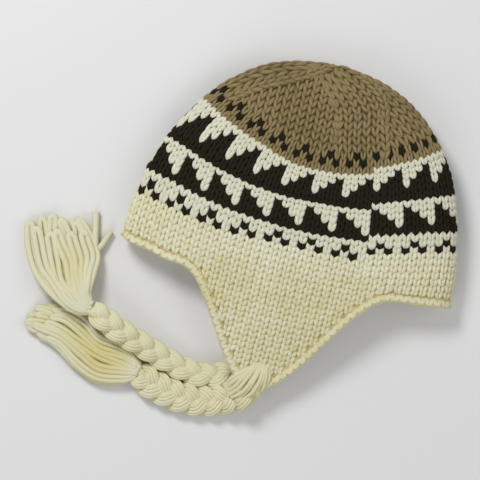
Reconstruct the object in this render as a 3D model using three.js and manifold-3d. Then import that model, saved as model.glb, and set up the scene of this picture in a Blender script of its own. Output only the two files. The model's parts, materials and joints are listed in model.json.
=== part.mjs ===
// Knitted earflap hat (chullo) lying flat on its side. Millimetres, +Z up, floor at z = 0,
// +Y towards the crown, +X along the brim.
import * as THREE from "three";
import { mergeVertices } from "three/addons/utils/BufferGeometryUtils.js";
import Module from "manifold-3d";

const wasm = await Module();
wasm.setup();
const { Manifold, Mesh } = wasm;

// Knitted wall and outline
const WALL = 5.5;
const GAP = 0.35;
const BRIM_WIDTH = 276;
const CROWN_HEIGHT = 173;
const OUTLINE_POWER = { up: 1.9, across: 2.33 };
const FOLD_POWER = 4.5;
const HALF_BRIM = (BRIM_WIDTH - WALL) / 2;
const CROWN_TOP = CROWN_HEIGHT - WALL / 2;
const COLUMNS = 80;

// Rows of knitting, given by where they cross the middle of the side that faces up
const FLAP_ROOT_ROW = -13;
const BAND_FOOT_ROW = 14;
const TAN_FOOT_ROW = 83;
const ROW_RISE = { brim: 15.5, linear: 44, square: 120 };
const ROW_TILT = { brim: 4.7, run: 90 };
const CROWN_LEAN = { across: 2.5, foot: 55, run: 60 };

// How high the two sides stand apart
const HALF_DEPTH = { brim: 16.5, swell: 22 };
const FOLD_HEIGHT = 14;

// Turned hem and ear flaps
const HEM_WIDTH = 7;
const HEM_HALF_THICK = 3.4;
const HEM_GAP = 0.5;
const FLAP_LEAST = 1.2;
const HEM_SIDES = 8;
const BRIM_EDGE = { middle: -11, corner_rise: 6 };
const FLAP_MIDDLE = 2.7;
const FLAP_SLOPE_WIDTH = { left: 89, right: 93 };
const LEFT_SHOULDER = { x: -93, half_width: 26, droop: 4.3 };
const LEFT_CORNER = { rise: 4.5, power: 24 };
const UPPER_FLAP = { side: 1, drop: 91, tip_shift: 1.5, tip_height: 18.5 };
const LOWER_FLAP = { side: -1, drop: 67, tip_shift: 13, tip_height: WALL / 2 };

// Plaits: oval tubes that run along their centre lines
const PLAIT_HALF_WIDTH = 10;
const PLAIT_HALF_THICK = 6.3;
const PLAIT_SIDES = 10;
const PLAIT_STEPS = 24;
const PLAIT_ROOT_LENGTH = 14;
const PLAIT_LOWER_ROOT_SHARE = 0.55;
const PLAIT_UPPER_ROUTE = [
  { x: -7.8, y: -101.9, z: 18.4 },
  { x: -10.0, y: -107.0, z: 16.9 },
  { x: -17.0, y: -111.4, z: 12.6 },
  { x: -26.6, y: -117.0, z: 8.4 },
  { x: -38.1, y: -121.0, z: 6.7 },
  { x: -51.2, y: -123.3, z: 6.7 },
  { x: -64.3, y: -123.1, z: 6.7 },
  { x: -76.3, y: -121.0, z: 6.7 },
  { x: -87.3, y: -117.6, z: 6.7 },
  { x: -95.5, y: -114.0, z: 6.7 },
];
const PLAIT_LOWER_ROUTE = [
  { x: -17.2, y: -78.9, z: 6.7 },
  { x: -19.2, y: -84.5, z: 6.7 },
  { x: -22.6, y: -89.2, z: 6.7 },
  { x: -28.4, y: -93.6, z: 6.7 },
  { x: -38.2, y: -97.4, z: 6.7 },
  { x: -50.6, y: -99.0, z: 6.7 },
  { x: -62.6, y: -97.6, z: 6.9 },
  { x: -74.9, y: -94.9, z: 7.6 },
  { x: -88.3, y: -91.4, z: 9.4 },
  { x: -101.8, y: -87.4, z: 12.4 },
  { x: -114.5, y: -83.2, z: 15.6 },
  { x: -126.0, y: -78.6, z: 18.2 },
  { x: -137.0, y: -73.2, z: 19.3 },
  { x: -142.3, y: -70.2, z: 19.4 },
];

// Tassels: locks fan out between a near edge and a far edge, from the plait's end to the tips
const LOCK_HALF_WIDTH = 4.9;
const LOCK_SIDES = 6;
const TASSEL_UPPER = {
  head: { x: -102, y: -111.4, z: 6.9, rx: 6.2, ry: 8.6, rz: 6.5 },
  locks: 9,
  bulge: { x: -18, y: -1 },
  rows: [
    { near_x: -99, near_y: -114.2, far_x: -100, far_y: -109.6, z: 6.6, half_thick: 5.4 },
    { near_x: -108, near_y: -119.6, far_x: -116.8, far_y: -103.6, z: 6.2, half_thick: 5.6 },
    { near_x: -129, near_y: -122.6, far_x: -133.6, far_y: -96.2, z: 6, half_thick: 5.5 },
    { near_x: -148.5, near_y: -115.8, far_x: -149.1, far_y: -87.6, z: 5.8, half_thick: 5.3 },
    { near_x: -162, near_y: -105.2, far_x: -162.4, far_y: -80.4, z: 5.6, half_thick: 5.1 },
    { near_x: -174, near_y: -100, far_x: -172.1, far_y: -76.6, z: 5.3, half_thick: 4.9 },
    { near_x: -184.4, near_y: -99.4, far_x: -178, far_y: -75.4, z: 4.2, half_thick: 3.6 },
  ],
  ends: [],
};
const TASSEL_LOWER = {
  head: { x: -148.1, y: -66.9, z: 19.2, rx: 5.8, ry: 7.6, rz: 6.3 },
  locks: 9,
  bulge: { x: 0, y: 2.5 },
  rows: [
    { near_x: -147, near_y: -70, far_x: -148, far_y: -64, z: 18.6, half_thick: 5.2 },
    { near_x: -158.2, near_y: -71.4, far_x: -153.2, far_y: -57.6, z: 18.6, half_thick: 5.4 },
    { near_x: -170.4, near_y: -66.2, far_x: -155.2, far_y: -50, z: 18.2, half_thick: 5.5 },
    { near_x: -185, near_y: -57.4, far_x: -155.8, far_y: -39.4, z: 14.4, half_thick: 5.5 },
    { near_x: -197.6, near_y: -45.8, far_x: -156.2, far_y: -27.6, z: 8.8, half_thick: 5.5 },
    { near_x: -208.2, near_y: -27.6, far_x: -163.6, far_y: -14, z: 6, half_thick: 5.4 },
    { near_x: -212, near_y: -11, far_x: -174, far_y: -1.4, z: 4.4, half_thick: 3.8 },
  ],
  ends: [
    { foot_x: -157, foot_y: -27, foot_z: 8, tip_x: -163.2, tip_y: 9, tip_z: 3.4 },
    { foot_x: -156.6, foot_y: -25, foot_z: 7.4, tip_x: -147.4, tip_y: -3.6, tip_z: 3.4 },
  ],
};
const LOOSE_END_HALF_WIDTH = 2.7;

// Yarn colours
const CREAM = 0xe9e4cc;
const DARK_BROWN = 0x352f27;
const TAN = 0xa98f66;

function clamp01(value) {
  return Math.min(1, Math.max(0, value));
}

function smoothStep(value) {
  const s = clamp01(value);
  return s * s * (3 - 2 * s);
}

function halfWidthAt(y) {
  const share = clamp01(y / CROWN_TOP);
  return HALF_BRIM * (1 - share ** OUTLINE_POWER.up) ** (1 / OUTLINE_POWER.across);
}

// How much lower the rounds of knitting sit at the left fold than in the middle
function tiltAt(row) {
  return ROW_TILT.brim * (1 - smoothStep((row - FLAP_ROOT_ROW) / ROW_TILT.run));
}

// How far the crown leans to the right at one height
function leanAt(y) {
  return CROWN_LEAN.across * smoothStep((y - CROWN_LEAN.foot) / CROWN_LEAN.run);
}

// How far a flap has swung sideways at one row
function tipShift(flap, row) {
  const run = Math.max(0, FLAP_ROOT_ROW - row);
  return flap.tip_shift * (run / flap.drop) ** 2;
}

// Half depth of the hat and the height of its fold at one row
function depthAt(row) {
  const t = clamp01((row - FLAP_ROOT_ROW) / (CROWN_TOP - FLAP_ROOT_ROW));
  const half = (HALF_DEPTH.brim + HALF_DEPTH.swell * t * (1 - t)) * Math.sqrt(1 - t ** 6);
  const over = Math.max(0, half - FOLD_HEIGHT);
  const fold = FOLD_HEIGHT + (over * over) / (over + 2);
  const rise = (1 - t) * (ROW_RISE.brim + ROW_RISE.linear * t + ROW_RISE.square * t * t);
  return { half, fold, rise };
}

// Middle of the wall at share u across the hat (-1 to 1), on the upper or lower side
function skin(u, side, row) {
  const { half, fold, rise } = depthAt(row);
  const flap = side > 0 ? UPPER_FLAP : LOWER_FLAP;
  const run = Math.max(0, FLAP_ROOT_ROW - row);
  const bend = Math.sqrt(Math.max(0, 1 - Math.abs(u) ** FOLD_POWER));
  const sink = smoothStep(run / flap.drop);
  const standing = fold + side * half * bend;
  const z = side > 0 ? standing * (1 - sink) + flap.tip_height * sink : standing;
  const tilt = tiltAt(row) * u;
  const y = row + rise * u * u + tilt;
  const x = halfWidthAt(row + rise + tilt) * u + leanAt(y) - tipShift(flap, row);
  return new THREE.Vector3(x, y, Math.max(WALL / 2, z));
}

function skinAt(angle, row) {
  return skin(Math.cos(angle), Math.sin(angle) >= 0 ? 1 : -1, row);
}

// Outward direction of the wall, from two short steps along it
function outward(angle, row) {
  const step = 0.004;
  const reach = 0.4;
  const around = skinAt(angle + step, row).sub(skinAt(angle - step, row));
  const up = skinAt(angle, row + reach).sub(skinAt(angle, row - reach));
  return up.cross(around).normalize();
}

function wallPoint(angle, row, face) {
  return skinAt(angle, row).addScaledVector(outward(angle, row), (face * WALL) / 2);
}

// Smooth hump that is 1 in the middle and 0 from one width away
function bell(offset) {
  return 0.5 * (1 + Math.cos(Math.PI * clamp01(Math.abs(offset))));
}

// Row at which the hem's outer edge lies, at one place round the opening; the left side of the brim
// droops a little beside the flap and rounds up at its corner
function edgeRow(angle) {
  const u = Math.cos(angle);
  const flap = Math.sin(angle) >= 0 ? UPPER_FLAP : LOWER_FLAP;
  const offset = u * HALF_BRIM + FLAP_MIDDLE;
  const slopeWidth = offset < 0 ? FLAP_SLOPE_WIDTH.left : FLAP_SLOPE_WIDTH.right;
  const drop = flap.drop * bell(offset / slopeWidth);
  const droop = LEFT_SHOULDER.droop * bell((u * HALF_BRIM - LEFT_SHOULDER.x) / LEFT_SHOULDER.half_width);
  const corner = u < 0 ? LEFT_CORNER.rise * u ** LEFT_CORNER.power : 0;
  const brim = BRIM_EDGE.middle + (BRIM_EDGE.corner_rise - ROW_RISE.brim) * u * u + corner;
  return brim - drop - droop;
}

// Edge point, the direction down over the edge, and the wall's outward direction there
function edgeFrame(angle) {
  const step = 0.01;
  const row = edgeRow(angle);
  const point = skinAt(angle, row);
  const along = skinAt(angle + step, edgeRow(angle + step));
  along.sub(skinAt(angle - step, edgeRow(angle - step))).normalize();
  const out = outward(angle, row);
  const down = new THREE.Vector3().crossVectors(along, out).normalize();
  const up = skinAt(angle, row + 1).sub(point);
  if (down.dot(up) > 0) {
    down.negate();
  }
  return { point, down, out };
}

// Closed body through equal loops of points; the ends are closed as thin strips
function loft(loops, wrapped) {
  const count = loops[0].length;
  const positions = loops.flat().flatMap((p) => [p.x, p.y, p.z]);
  const index = [];
  const spans = wrapped ? loops.length : loops.length - 1;
  for (let i = 0; i < spans; i += 1) {
    const next = (i + 1) % loops.length;
    for (let j = 0; j < count; j += 1) {
      const k = (j + 1) % count;
      const a = i * count + j;
      const b = i * count + k;
      const c = next * count + k;
      const d = next * count + j;
      index.push(a, b, c, a, c, d);
    }
  }
  if (!wrapped) {
    const last = (loops.length - 1) * count;
    for (let j = 0; j < count / 2 - 1; j += 1) {
      const k = count - 1 - j;
      index.push(j, k, k - 1, j, k - 1, j + 1);
      index.push(last + j, last + k - 1, last + k, last + j, last + j + 1, last + k - 1);
    }
  }
  return closedGeometry(positions, index);
}

// Welds the points, drops faces that have closed up, and turns every face outwards
function closedGeometry(positions, index) {
  const raw = new THREE.BufferGeometry();
  raw.setAttribute("position", new THREE.Float32BufferAttribute(positions, 3));
  raw.setIndex(index);
  const welded = mergeVertices(raw, 1e-4);
  const old = welded.getIndex().array;
  const kept = [];
  for (let i = 0; i < old.length; i += 3) {
    const [a, b, c] = [old[i], old[i + 1], old[i + 2]];
    if (a !== b && b !== c && a !== c) {
      kept.push(a, b, c);
    }
  }
  welded.setIndex(kept);
  if (signedVolume(welded) < 0) {
    for (let i = 0; i < kept.length; i += 3) {
      [kept[i], kept[i + 1]] = [kept[i + 1], kept[i]];
    }
    welded.setIndex(kept);
  }
  return welded;
}

function signedVolume(geometry) {
  const point = geometry.getAttribute("position");
  const index = geometry.getIndex().array;
  const [a, b, c] = [new THREE.Vector3(), new THREE.Vector3(), new THREE.Vector3()];
  let total = 0;
  for (let i = 0; i < index.length; i += 3) {
    a.fromBufferAttribute(point, index[i]);
    b.fromBufferAttribute(point, index[i + 1]);
    c.fromBufferAttribute(point, index[i + 2]);
    total += a.dot(b.cross(c)) / 6;
  }
  return total;
}

function columnAngle(k) {
  return (2 * Math.PI * (k + 0.5)) / COLUMNS;
}

// Rows from one to another, closer together towards the end where ease is above 1
function rowsBetween(from, to, steps, ease) {
  const rows = [];
  for (let i = 0; i <= steps; i += 1) {
    rows.push(from + (to - from) * (1 - (1 - i / steps) ** ease));
  }
  return rows;
}

function wallLoop(angle, rows) {
  const outer = rows.map((row) => wallPoint(angle, row, 1));
  const inner = rows.map((row) => wallPoint(angle, row, -1)).reverse();
  return outer.concat(inner);
}

function crownShape() {
  const rows = rowsBetween(TAN_FOOT_ROW, CROWN_TOP, 8, 1.6);
  rows.pop();
  const top = skin(0, 1, CROWN_TOP);
  const outerTop = top.clone().add(new THREE.Vector3(0, WALL / 2, 0));
  const innerTop = top.clone().add(new THREE.Vector3(0, -WALL / 2, 0));
  const loops = [];
  for (let k = 0; k < COLUMNS; k += 1) {
    const loop = wallLoop(columnAngle(k), rows);
    loop.splice(rows.length, 0, outerTop, innerTop);
    loops.push(loop);
  }
  return loft(loops, true);
}

function bandShape() {
  const rows = rowsBetween(BAND_FOOT_ROW, TAN_FOOT_ROW - GAP, 4, 1);
  const loops = [];
  for (let k = 0; k < COLUMNS; k += 1) {
    loops.push(wallLoop(columnAngle(k), rows));
  }
  return loft(loops, true);
}

// Where the knitting stops above the hem: the point, its share across and its row
function hemFoot(angle) {
  const { point, down, out } = edgeFrame(angle);
  const foot = point.clone().addScaledVector(down, -(HEM_WIDTH + HEM_GAP));
  foot.z = Math.max(WALL / 2, foot.z);
  const flap = Math.sin(angle) >= 0 ? UPPER_FLAP : LOWER_FLAP;
  let u = foot.x / HALF_BRIM;
  let row = foot.y - ROW_RISE.brim * u * u - ROW_TILT.brim * u;
  for (let pass = 0; pass < 3; pass += 1) {
    u = (foot.x + tipShift(flap, row)) / HALF_BRIM;
    row = foot.y - ROW_RISE.brim * u * u - ROW_TILT.brim * u;
  }
  return { foot, out, u, row };
}

function baseShape() {
  const steps = 3;
  const loops = [];
  for (let k = 0; k < COLUMNS; k += 1) {
    const angle = columnAngle(k);
    const { foot, out, row } = hemFoot(angle);
    const onFlap = row <= FLAP_ROOT_ROW - FLAP_LEAST;
    const topRow = BAND_FOOT_ROW - GAP;
    const faces = [1, -1].map((face) => {
      const end = onFlap
        ? wallPoint(angle, FLAP_ROOT_ROW, face)
        : foot.clone().addScaledVector(out, (face * WALL) / 2);
      const start = wallPoint(angle, topRow, face);
      const points = [start];
      for (let i = 1; i < steps; i += 1) {
        const between = topRow + ((onFlap ? FLAP_ROOT_ROW : row) - topRow) * (i / steps);
        points.push(wallPoint(angle, between, face));
      }
      points.push(end);
      return points;
    });
    loops.push(faces[0].concat(faces[1].reverse()));
  }
  return loft(loops, true);
}

function flapShape(flap) {
  const steps = 6;
  const loops = [];
  for (let k = 0; k < COLUMNS; k += 1) {
    const angle = columnAngle(k);
    const { foot, out, u, row } = hemFoot(angle);
    const facing = Math.sign(Math.sin(angle)) === flap.side;
    if (!facing || row > FLAP_ROOT_ROW - FLAP_LEAST) {
      continue;
    }
    const fromRow = FLAP_ROOT_ROW - HEM_GAP;
    const faces = [1, -1].map((face) => {
      const points = [];
      for (let i = 0; i < steps; i += 1) {
        const share = i / steps;
        const across = Math.cos(angle) * (1 - share) + u * share;
        const turned = flap.side * Math.acos(across);
        points.push(wallPoint(turned, fromRow + (row - fromRow) * share, face));
      }
      points.push(foot.clone().addScaledVector(out, (face * WALL) / 2));
      return points;
    });
    loops.push(faces[0].concat(faces[1].reverse()));
  }
  return loft(loops, false);
}

function hemShape() {
  const loops = [];
  for (let k = 0; k < COLUMNS; k += 1) {
    const { point, down, out } = edgeFrame(columnAngle(k));
    const centre = point.clone().addScaledVector(down, -HEM_WIDTH / 2);
    centre.z = Math.max(centre.z, HEM_HALF_THICK);
    const loop = [];
    for (let j = 0; j < HEM_SIDES; j += 1) {
      const turn = (2 * Math.PI * j) / HEM_SIDES;
      const p = centre.clone().addScaledVector(down, (Math.cos(turn) * HEM_WIDTH) / 2);
      loop.push(p.addScaledVector(out, Math.sin(turn) * HEM_HALF_THICK));
    }
    loops.push(loop);
  }
  return loft(loops, true);
}

// An oval tube along a line of points, its wide way kept level
function ovalTube(points, halfWidths, halfThicks, sides) {
  const loops = [];
  for (let i = 0; i < points.length; i += 1) {
    const before = points[Math.max(0, i - 1)];
    const after = points[Math.min(points.length - 1, i + 1)];
    const along = after.clone().sub(before).normalize();
    const sideways = new THREE.Vector3(-along.y, along.x, 0).normalize();
    const upward = new THREE.Vector3().crossVectors(along, sideways).normalize();
    const loop = [];
    for (let j = 0; j < sides; j += 1) {
      const turn = (2 * Math.PI * j) / sides;
      const p = points[i].clone().addScaledVector(sideways, Math.cos(turn) * halfWidths[i]);
      loop.push(p.addScaledVector(upward, Math.sin(turn) * halfThicks[i]));
    }
    loops.push(loop);
  }
  return loft(loops, false);
}

// A plait, drawn in at its root where the flap gathers it
function plaitShape(route, rootShare) {
  const path = new THREE.CatmullRomCurve3(route.map((p) => new THREE.Vector3(p.x, p.y, p.z)));
  const points = path.getSpacedPoints(PLAIT_STEPS);
  const stride = path.getLength() / PLAIT_STEPS;
  const widths = points.map((p, i) => {
    const open = clamp01((i * stride) / PLAIT_ROOT_LENGTH);
    return PLAIT_HALF_WIDTH * (rootShare + (1 - rootShare) * open);
  });
  const thicks = points.map(() => PLAIT_HALF_THICK);
  return ovalTube(points, widths, thicks, PLAIT_SIDES);
}

function toManifold(geometry) {
  const mesh = new Mesh({
    numProp: 3,
    vertProperties: new Float32Array(geometry.getAttribute("position").array),
    triVerts: new Uint32Array(geometry.getIndex().array),
  });
  return new Manifold(mesh);
}

function tasselShape(tassel) {
  const head = new THREE.SphereGeometry(1, 10, 7);
  head.scale(tassel.head.rx, tassel.head.ry, tassel.head.rz);
  head.translate(tassel.head.x, tassel.head.y, tassel.head.z);
  head.deleteAttribute("normal");
  head.deleteAttribute("uv");
  const welded = mergeVertices(head, 1e-4);
  const headBody = closedGeometry(
    Array.from(welded.getAttribute("position").array),
    Array.from(welded.getIndex().array),
  );
  let whole = toManifold(headBody);
  for (let n = 0; n < tassel.locks; n += 1) {
    const share = n / (tassel.locks - 1);
    const reach = Math.sin(Math.PI * share);
    const last = tassel.rows.length - 1;
    const points = tassel.rows.map((row, i) => {
      const push = reach * Math.max(0, (i - 3) / (last - 3));
      const x = row.near_x + (row.far_x - row.near_x) * share + tassel.bulge.x * push;
      const y = row.near_y + (row.far_y - row.near_y) * share + tassel.bulge.y * push;
      return new THREE.Vector3(x, y, row.z);
    });
    const widths = points.map((p, i) => LOCK_HALF_WIDTH * (i === 0 ? 0.6 : i === last ? 0.72 : 1));
    const thicks = tassel.rows.map((row) => row.half_thick);
    whole = whole.add(toManifold(ovalTube(points, widths, thicks, LOCK_SIDES)));
  }
  for (const end of tassel.ends) {
    const foot = new THREE.Vector3(end.foot_x, end.foot_y, end.foot_z);
    const tip = new THREE.Vector3(end.tip_x, end.tip_y, end.tip_z);
    const points = [0, 0.5, 1].map((share) => foot.clone().lerp(tip, share));
    const half = points.map(() => LOOSE_END_HALF_WIDTH);
    whole = whole.add(toManifold(ovalTube(points, half, half, LOCK_SIDES)));
  }
  const mesh = whole.getMesh();
  return closedGeometry(Array.from(mesh.vertProperties), Array.from(mesh.triVerts));
}

function piece(name, geometry, colour) {
  geometry.computeVertexNormals();
  const material = new THREE.MeshStandardMaterial({ color: colour, roughness: 0.9 });
  material.name = name;
  const mesh = new THREE.Mesh(geometry, material);
  mesh.name = name;
  return mesh;
}

const knitted = [
  piece("crown", crownShape(), TAN),
  piece("pattern_band", bandShape(), DARK_BROWN),
  piece("base_band", baseShape(), CREAM),
  piece("ear_flap_upper", flapShape(UPPER_FLAP), CREAM),
  piece("ear_flap_lower", flapShape(LOWER_FLAP), CREAM),
  piece("hem_roll", hemShape(), CREAM),
];
const corded = [
  piece("plait_upper", plaitShape(PLAIT_UPPER_ROUTE, 1), CREAM),
  piece("plait_lower", plaitShape(PLAIT_LOWER_ROUTE, PLAIT_LOWER_ROOT_SHARE), CREAM),
  piece("tassel_upper", tasselShape(TASSEL_UPPER), CREAM),
  piece("tassel_lower", tasselShape(TASSEL_LOWER), CREAM),
];

// The middle of the hat's own box, without plaits and tassels, goes to the origin
const box = new THREE.Box3();
for (const mesh of knitted) {
  mesh.geometry.computeBoundingBox();
  box.union(mesh.geometry.boundingBox);
}
const middle = box.getCenter(new THREE.Vector3());
const hat = new THREE.Group();
hat.name = "chullo_hat";
for (const mesh of [...knitted, ...corded]) {
  mesh.geometry.translate(-middle.x, -middle.y, -box.min.z);
  hat.add(mesh);
}

export default hat;
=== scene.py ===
# %% [markdown]
# # A knitted earflap hat, lying flat
# The hat is knitted in the round from chunky yarn: a cream base with two ear flaps, a dark brown
# and white band of saw teeth, and a tan crown. A plait with a looped tassel hangs from each flap.
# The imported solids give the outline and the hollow. They are smooth, so this lesson lays the yarn
# over them, stitch by stitch, and keeps their form. Random draws are seeded, so every run is alike.

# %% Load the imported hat
import json
import math
import bpy
import numpy as np
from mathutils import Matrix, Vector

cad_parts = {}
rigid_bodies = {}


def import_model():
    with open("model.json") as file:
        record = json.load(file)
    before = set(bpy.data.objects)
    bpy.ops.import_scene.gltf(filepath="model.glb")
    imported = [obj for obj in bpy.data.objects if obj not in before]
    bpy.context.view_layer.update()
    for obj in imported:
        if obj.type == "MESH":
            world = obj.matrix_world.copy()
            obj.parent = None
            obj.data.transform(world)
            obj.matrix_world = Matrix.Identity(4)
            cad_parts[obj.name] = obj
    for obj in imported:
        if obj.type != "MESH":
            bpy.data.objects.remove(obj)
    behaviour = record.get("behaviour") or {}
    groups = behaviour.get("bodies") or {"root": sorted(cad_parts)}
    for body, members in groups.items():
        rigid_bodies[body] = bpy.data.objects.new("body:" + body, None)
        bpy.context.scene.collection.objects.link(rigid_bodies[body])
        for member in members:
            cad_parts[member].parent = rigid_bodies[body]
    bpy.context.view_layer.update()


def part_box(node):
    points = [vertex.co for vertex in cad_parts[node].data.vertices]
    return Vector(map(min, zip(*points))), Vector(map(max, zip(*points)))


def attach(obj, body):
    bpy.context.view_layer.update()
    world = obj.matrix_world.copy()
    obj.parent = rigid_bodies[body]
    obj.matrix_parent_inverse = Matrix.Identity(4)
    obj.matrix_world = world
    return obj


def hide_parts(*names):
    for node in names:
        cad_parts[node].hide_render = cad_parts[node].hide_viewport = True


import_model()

MM = 0.001
random_draw = np.random.default_rng(7)

# %% [markdown]
# ## Camera
# The picture looks straight down on the hat, which lies turned a little. The hat could be turned
# under a straight camera, but then it would leave the imported model's frame, so the camera is
# turned instead. A long lens from high above keeps the outline almost free of perspective.

# %% Camera above the hat
PHOTO_TURN = math.radians(13.6)
crown_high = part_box("crown")[1]
FRAME_MIDDLE = (-0.0424, float(crown_high[1]) - 0.1583)
FRAME_WIDTH = 0.3936
CAMERA_HEIGHT = 1.6
OUTLINE_HEIGHT = 0.014
SENSOR_WIDTH = 36.0

bpy.ops.object.select_all(action="DESELECT")
bpy.ops.object.camera_add(
    location=(*FRAME_MIDDLE, CAMERA_HEIGHT), rotation=(0, 0, PHOTO_TURN)
)
camera = bpy.context.object
camera.name = "camera_above"
camera.data.sensor_width = SENSOR_WIDTH
camera.data.lens = SENSOR_WIDTH * (CAMERA_HEIGHT - OUTLINE_HEIGHT) / FRAME_WIDTH
bpy.context.scene.camera = camera
print("lens mm:", round(camera.data.lens, 1))

# %% [markdown]
# ## Lamps
# The hat is lit by three wide, soft lamps: the main one from the upper left, so each stitch gets a
# bright side and a soft shaded one, and two weaker ones that keep the shadows open. A sun lamp would
# be simpler, but its hard shadows hide the hollows between the stitches.

# %% Lamps
LAMP_AIM = (-0.02, 0, 0)


def lamp(name, place, width, power):
    """A round lamp at place, turned so that it looks at the hat."""
    bpy.ops.object.light_add(type="AREA", location=place)
    light = bpy.context.object
    light.name = name
    light.data.shape = "DISK"
    light.data.size = width
    light.data.energy = power
    offset = [a - p for a, p in zip(LAMP_AIM, place)]
    across = math.hypot(offset[0], offset[1])
    light.rotation_euler = (
        math.atan2(across, -offset[2]),
        0,
        math.atan2(offset[1], offset[0]) - math.pi / 2,
    )
    return light


lamp("main_lamp", (-0.75, 0.7, 1.1), width=0.5, power=12)
lamp("fill_lamp", (0.9, 0.1, 1.0), width=0.9, power=3)
lamp("low_lamp", (-0.2, -1.0, 0.8), width=0.9, power=3)

# %% Light from all round
ROUND_LIGHT = 0.33
bpy.context.scene.view_settings.view_transform = "Standard"
world = bpy.context.scene.world or bpy.data.worlds.new("studio")
bpy.context.scene.world = world
world.use_nodes = True
world.node_tree.nodes["Background"].inputs["Color"].default_value = (1, 1, 1, 1)
world.node_tree.nodes["Background"].inputs["Strength"].default_value = ROUND_LIGHT
print("light from all round:", ROUND_LIGHT)

# %% [markdown]
# ## Yarn materials
# Wool-like yarn is matt, a little fuzzy, and made of fine fibres that run along it. A picture of
# yarn could be wrapped round each strand, but its seams would show, so the fibres are drawn by noise.
# Two node groups do this for every yarn: one draws the fibres along the yarn's own UV map, and one
# clouds the colour slowly over the whole hat. Each material adds a lit colour and a painted shade
# colour, the colour of the yarn's hollows in shade. The tone that is stored in each piece
# says where the yarn turns from one to the other. It holds random tone, and painted shade on the
# sides of each yarn and leg and in the hollows between them.


# %% Node helpers
def node(tree, kind, **values):
    made = tree.nodes.new(kind)
    for key, value in values.items():
        if hasattr(made, key):
            setattr(made, key, value)
        else:
            made.inputs[key.replace("_", " ")].default_value = value
    return made


def link(tree, source, target):
    tree.links.new(source, target)


def new_group(name, inputs, outputs):
    tree = bpy.data.node_groups.new(name, "ShaderNodeTree")
    for label, kind, start in inputs:
        socket = tree.interface.new_socket(label, in_out="INPUT", socket_type=kind)
        if start is not None:
            socket.default_value = start
    for label, kind in outputs:
        tree.interface.new_socket(label, in_out="OUTPUT", socket_type=kind)
    return tree, tree.nodes.new("NodeGroupInput"), tree.nodes.new("NodeGroupOutput")


def math_node(tree, operation, a, b):
    made = tree.nodes.new("ShaderNodeMath")
    made.operation = operation
    for socket, value in zip(made.inputs, (a, b)):
        if isinstance(value, (int, float)):
            socket.default_value = value
        else:
            tree.links.new(value, socket)
    return made.outputs[0]


def two_colours(tree, light, shade, share):
    """A colour that goes from light to shade as share goes from 0 to 1."""
    mix = node(tree, "ShaderNodeMix", data_type="RGBA")
    colours = [s for s in mix.inputs if s.type == "RGBA"]
    colours[0].default_value = (*light, 1)
    colours[1].default_value = (*shade, 1)
    link(tree, share, mix.inputs["Factor"])
    return [s for s in mix.outputs if s.type == "RGBA"][0]


def group_node(tree, group, **values):
    made = tree.nodes.new("ShaderNodeGroup")
    made.node_tree = group
    for key, value in values.items():
        made.inputs[key].default_value = value
    return made


print("node helpers are ready")

# %% Group: fibres along a yarn
fibres, fibres_in, fibres_out = new_group(
    "fibres along a yarn",
    [
        ("Fibres Across", "NodeSocketFloat", 9.0),
        ("Fibres Along", "NodeSocketFloat", 90.0),
        ("Twist", "NodeSocketFloat", 120.0),
    ],
    [("Fibre", "NodeSocketFloat"), ("Height", "NodeSocketFloat")],
)
yarn_map = node(fibres, "ShaderNodeUVMap", uv_map="yarn")
parts = fibres.nodes.new("ShaderNodeSeparateXYZ")
link(fibres, yarn_map.outputs[0], parts.inputs[0])
twisted = math_node(fibres, "MULTIPLY", parts.outputs[1], fibres_in.outputs["Twist"])
turned = math_node(fibres, "ADD", parts.outputs[0], twisted)
angle = math_node(fibres, "MULTIPLY", turned, 2 * math.pi)
# The noise is read on a ring, so that the fibres close round the yarn without a seam.
RING_RADIUS = 0.16
spread = math_node(fibres, "MULTIPLY", fibres_in.outputs["Fibres Across"], RING_RADIUS)
ring_x = math_node(fibres, "MULTIPLY", math_node(fibres, "COSINE", angle, 0), spread)
ring_y = math_node(fibres, "MULTIPLY", math_node(fibres, "SINE", angle, 0), spread)
ring_z = math_node(fibres, "MULTIPLY", parts.outputs[1], fibres_in.outputs["Fibres Along"])
ring = fibres.nodes.new("ShaderNodeCombineXYZ")
for source, target in zip((ring_x, ring_y, ring_z), ring.inputs):
    link(fibres, source, target)
strands = node(fibres, "ShaderNodeTexNoise", Scale=2.4, Detail=3.0, Roughness=0.6)
link(fibres, ring.outputs[0], strands.inputs["Vector"])
link(fibres, strands.outputs["Fac"], fibres_out.inputs["Fibre"])
link(fibres, strands.outputs["Fac"], fibres_out.inputs["Height"])
print("group:", fibres.name, len(fibres.nodes), "nodes")

# %% Group: slow clouds of colour
clouds, clouds_in, clouds_out = new_group(
    "slow clouds of colour",
    [("Size", "NodeSocketFloat", 22.0), ("Amount", "NodeSocketFloat", 0.8)],
    [("Cloud", "NodeSocketFloat")],
)
place = clouds.nodes.new("ShaderNodeTexCoord")
patches = node(clouds, "ShaderNodeTexNoise", Detail=2.0, Roughness=0.5)
link(clouds, place.outputs["Object"], patches.inputs["Vector"])
link(clouds, clouds_in.outputs["Size"], patches.inputs["Scale"])
cloud_share = math_node(clouds, "MULTIPLY", patches.outputs["Fac"], clouds_in.outputs["Amount"])
link(clouds, cloud_share, clouds_out.inputs["Cloud"])
print("group:", clouds.name, len(clouds.nodes), "nodes")

# %% Yarn material
FIBRE_SHARE = 0.45
SHADE_START = 0.5


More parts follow.
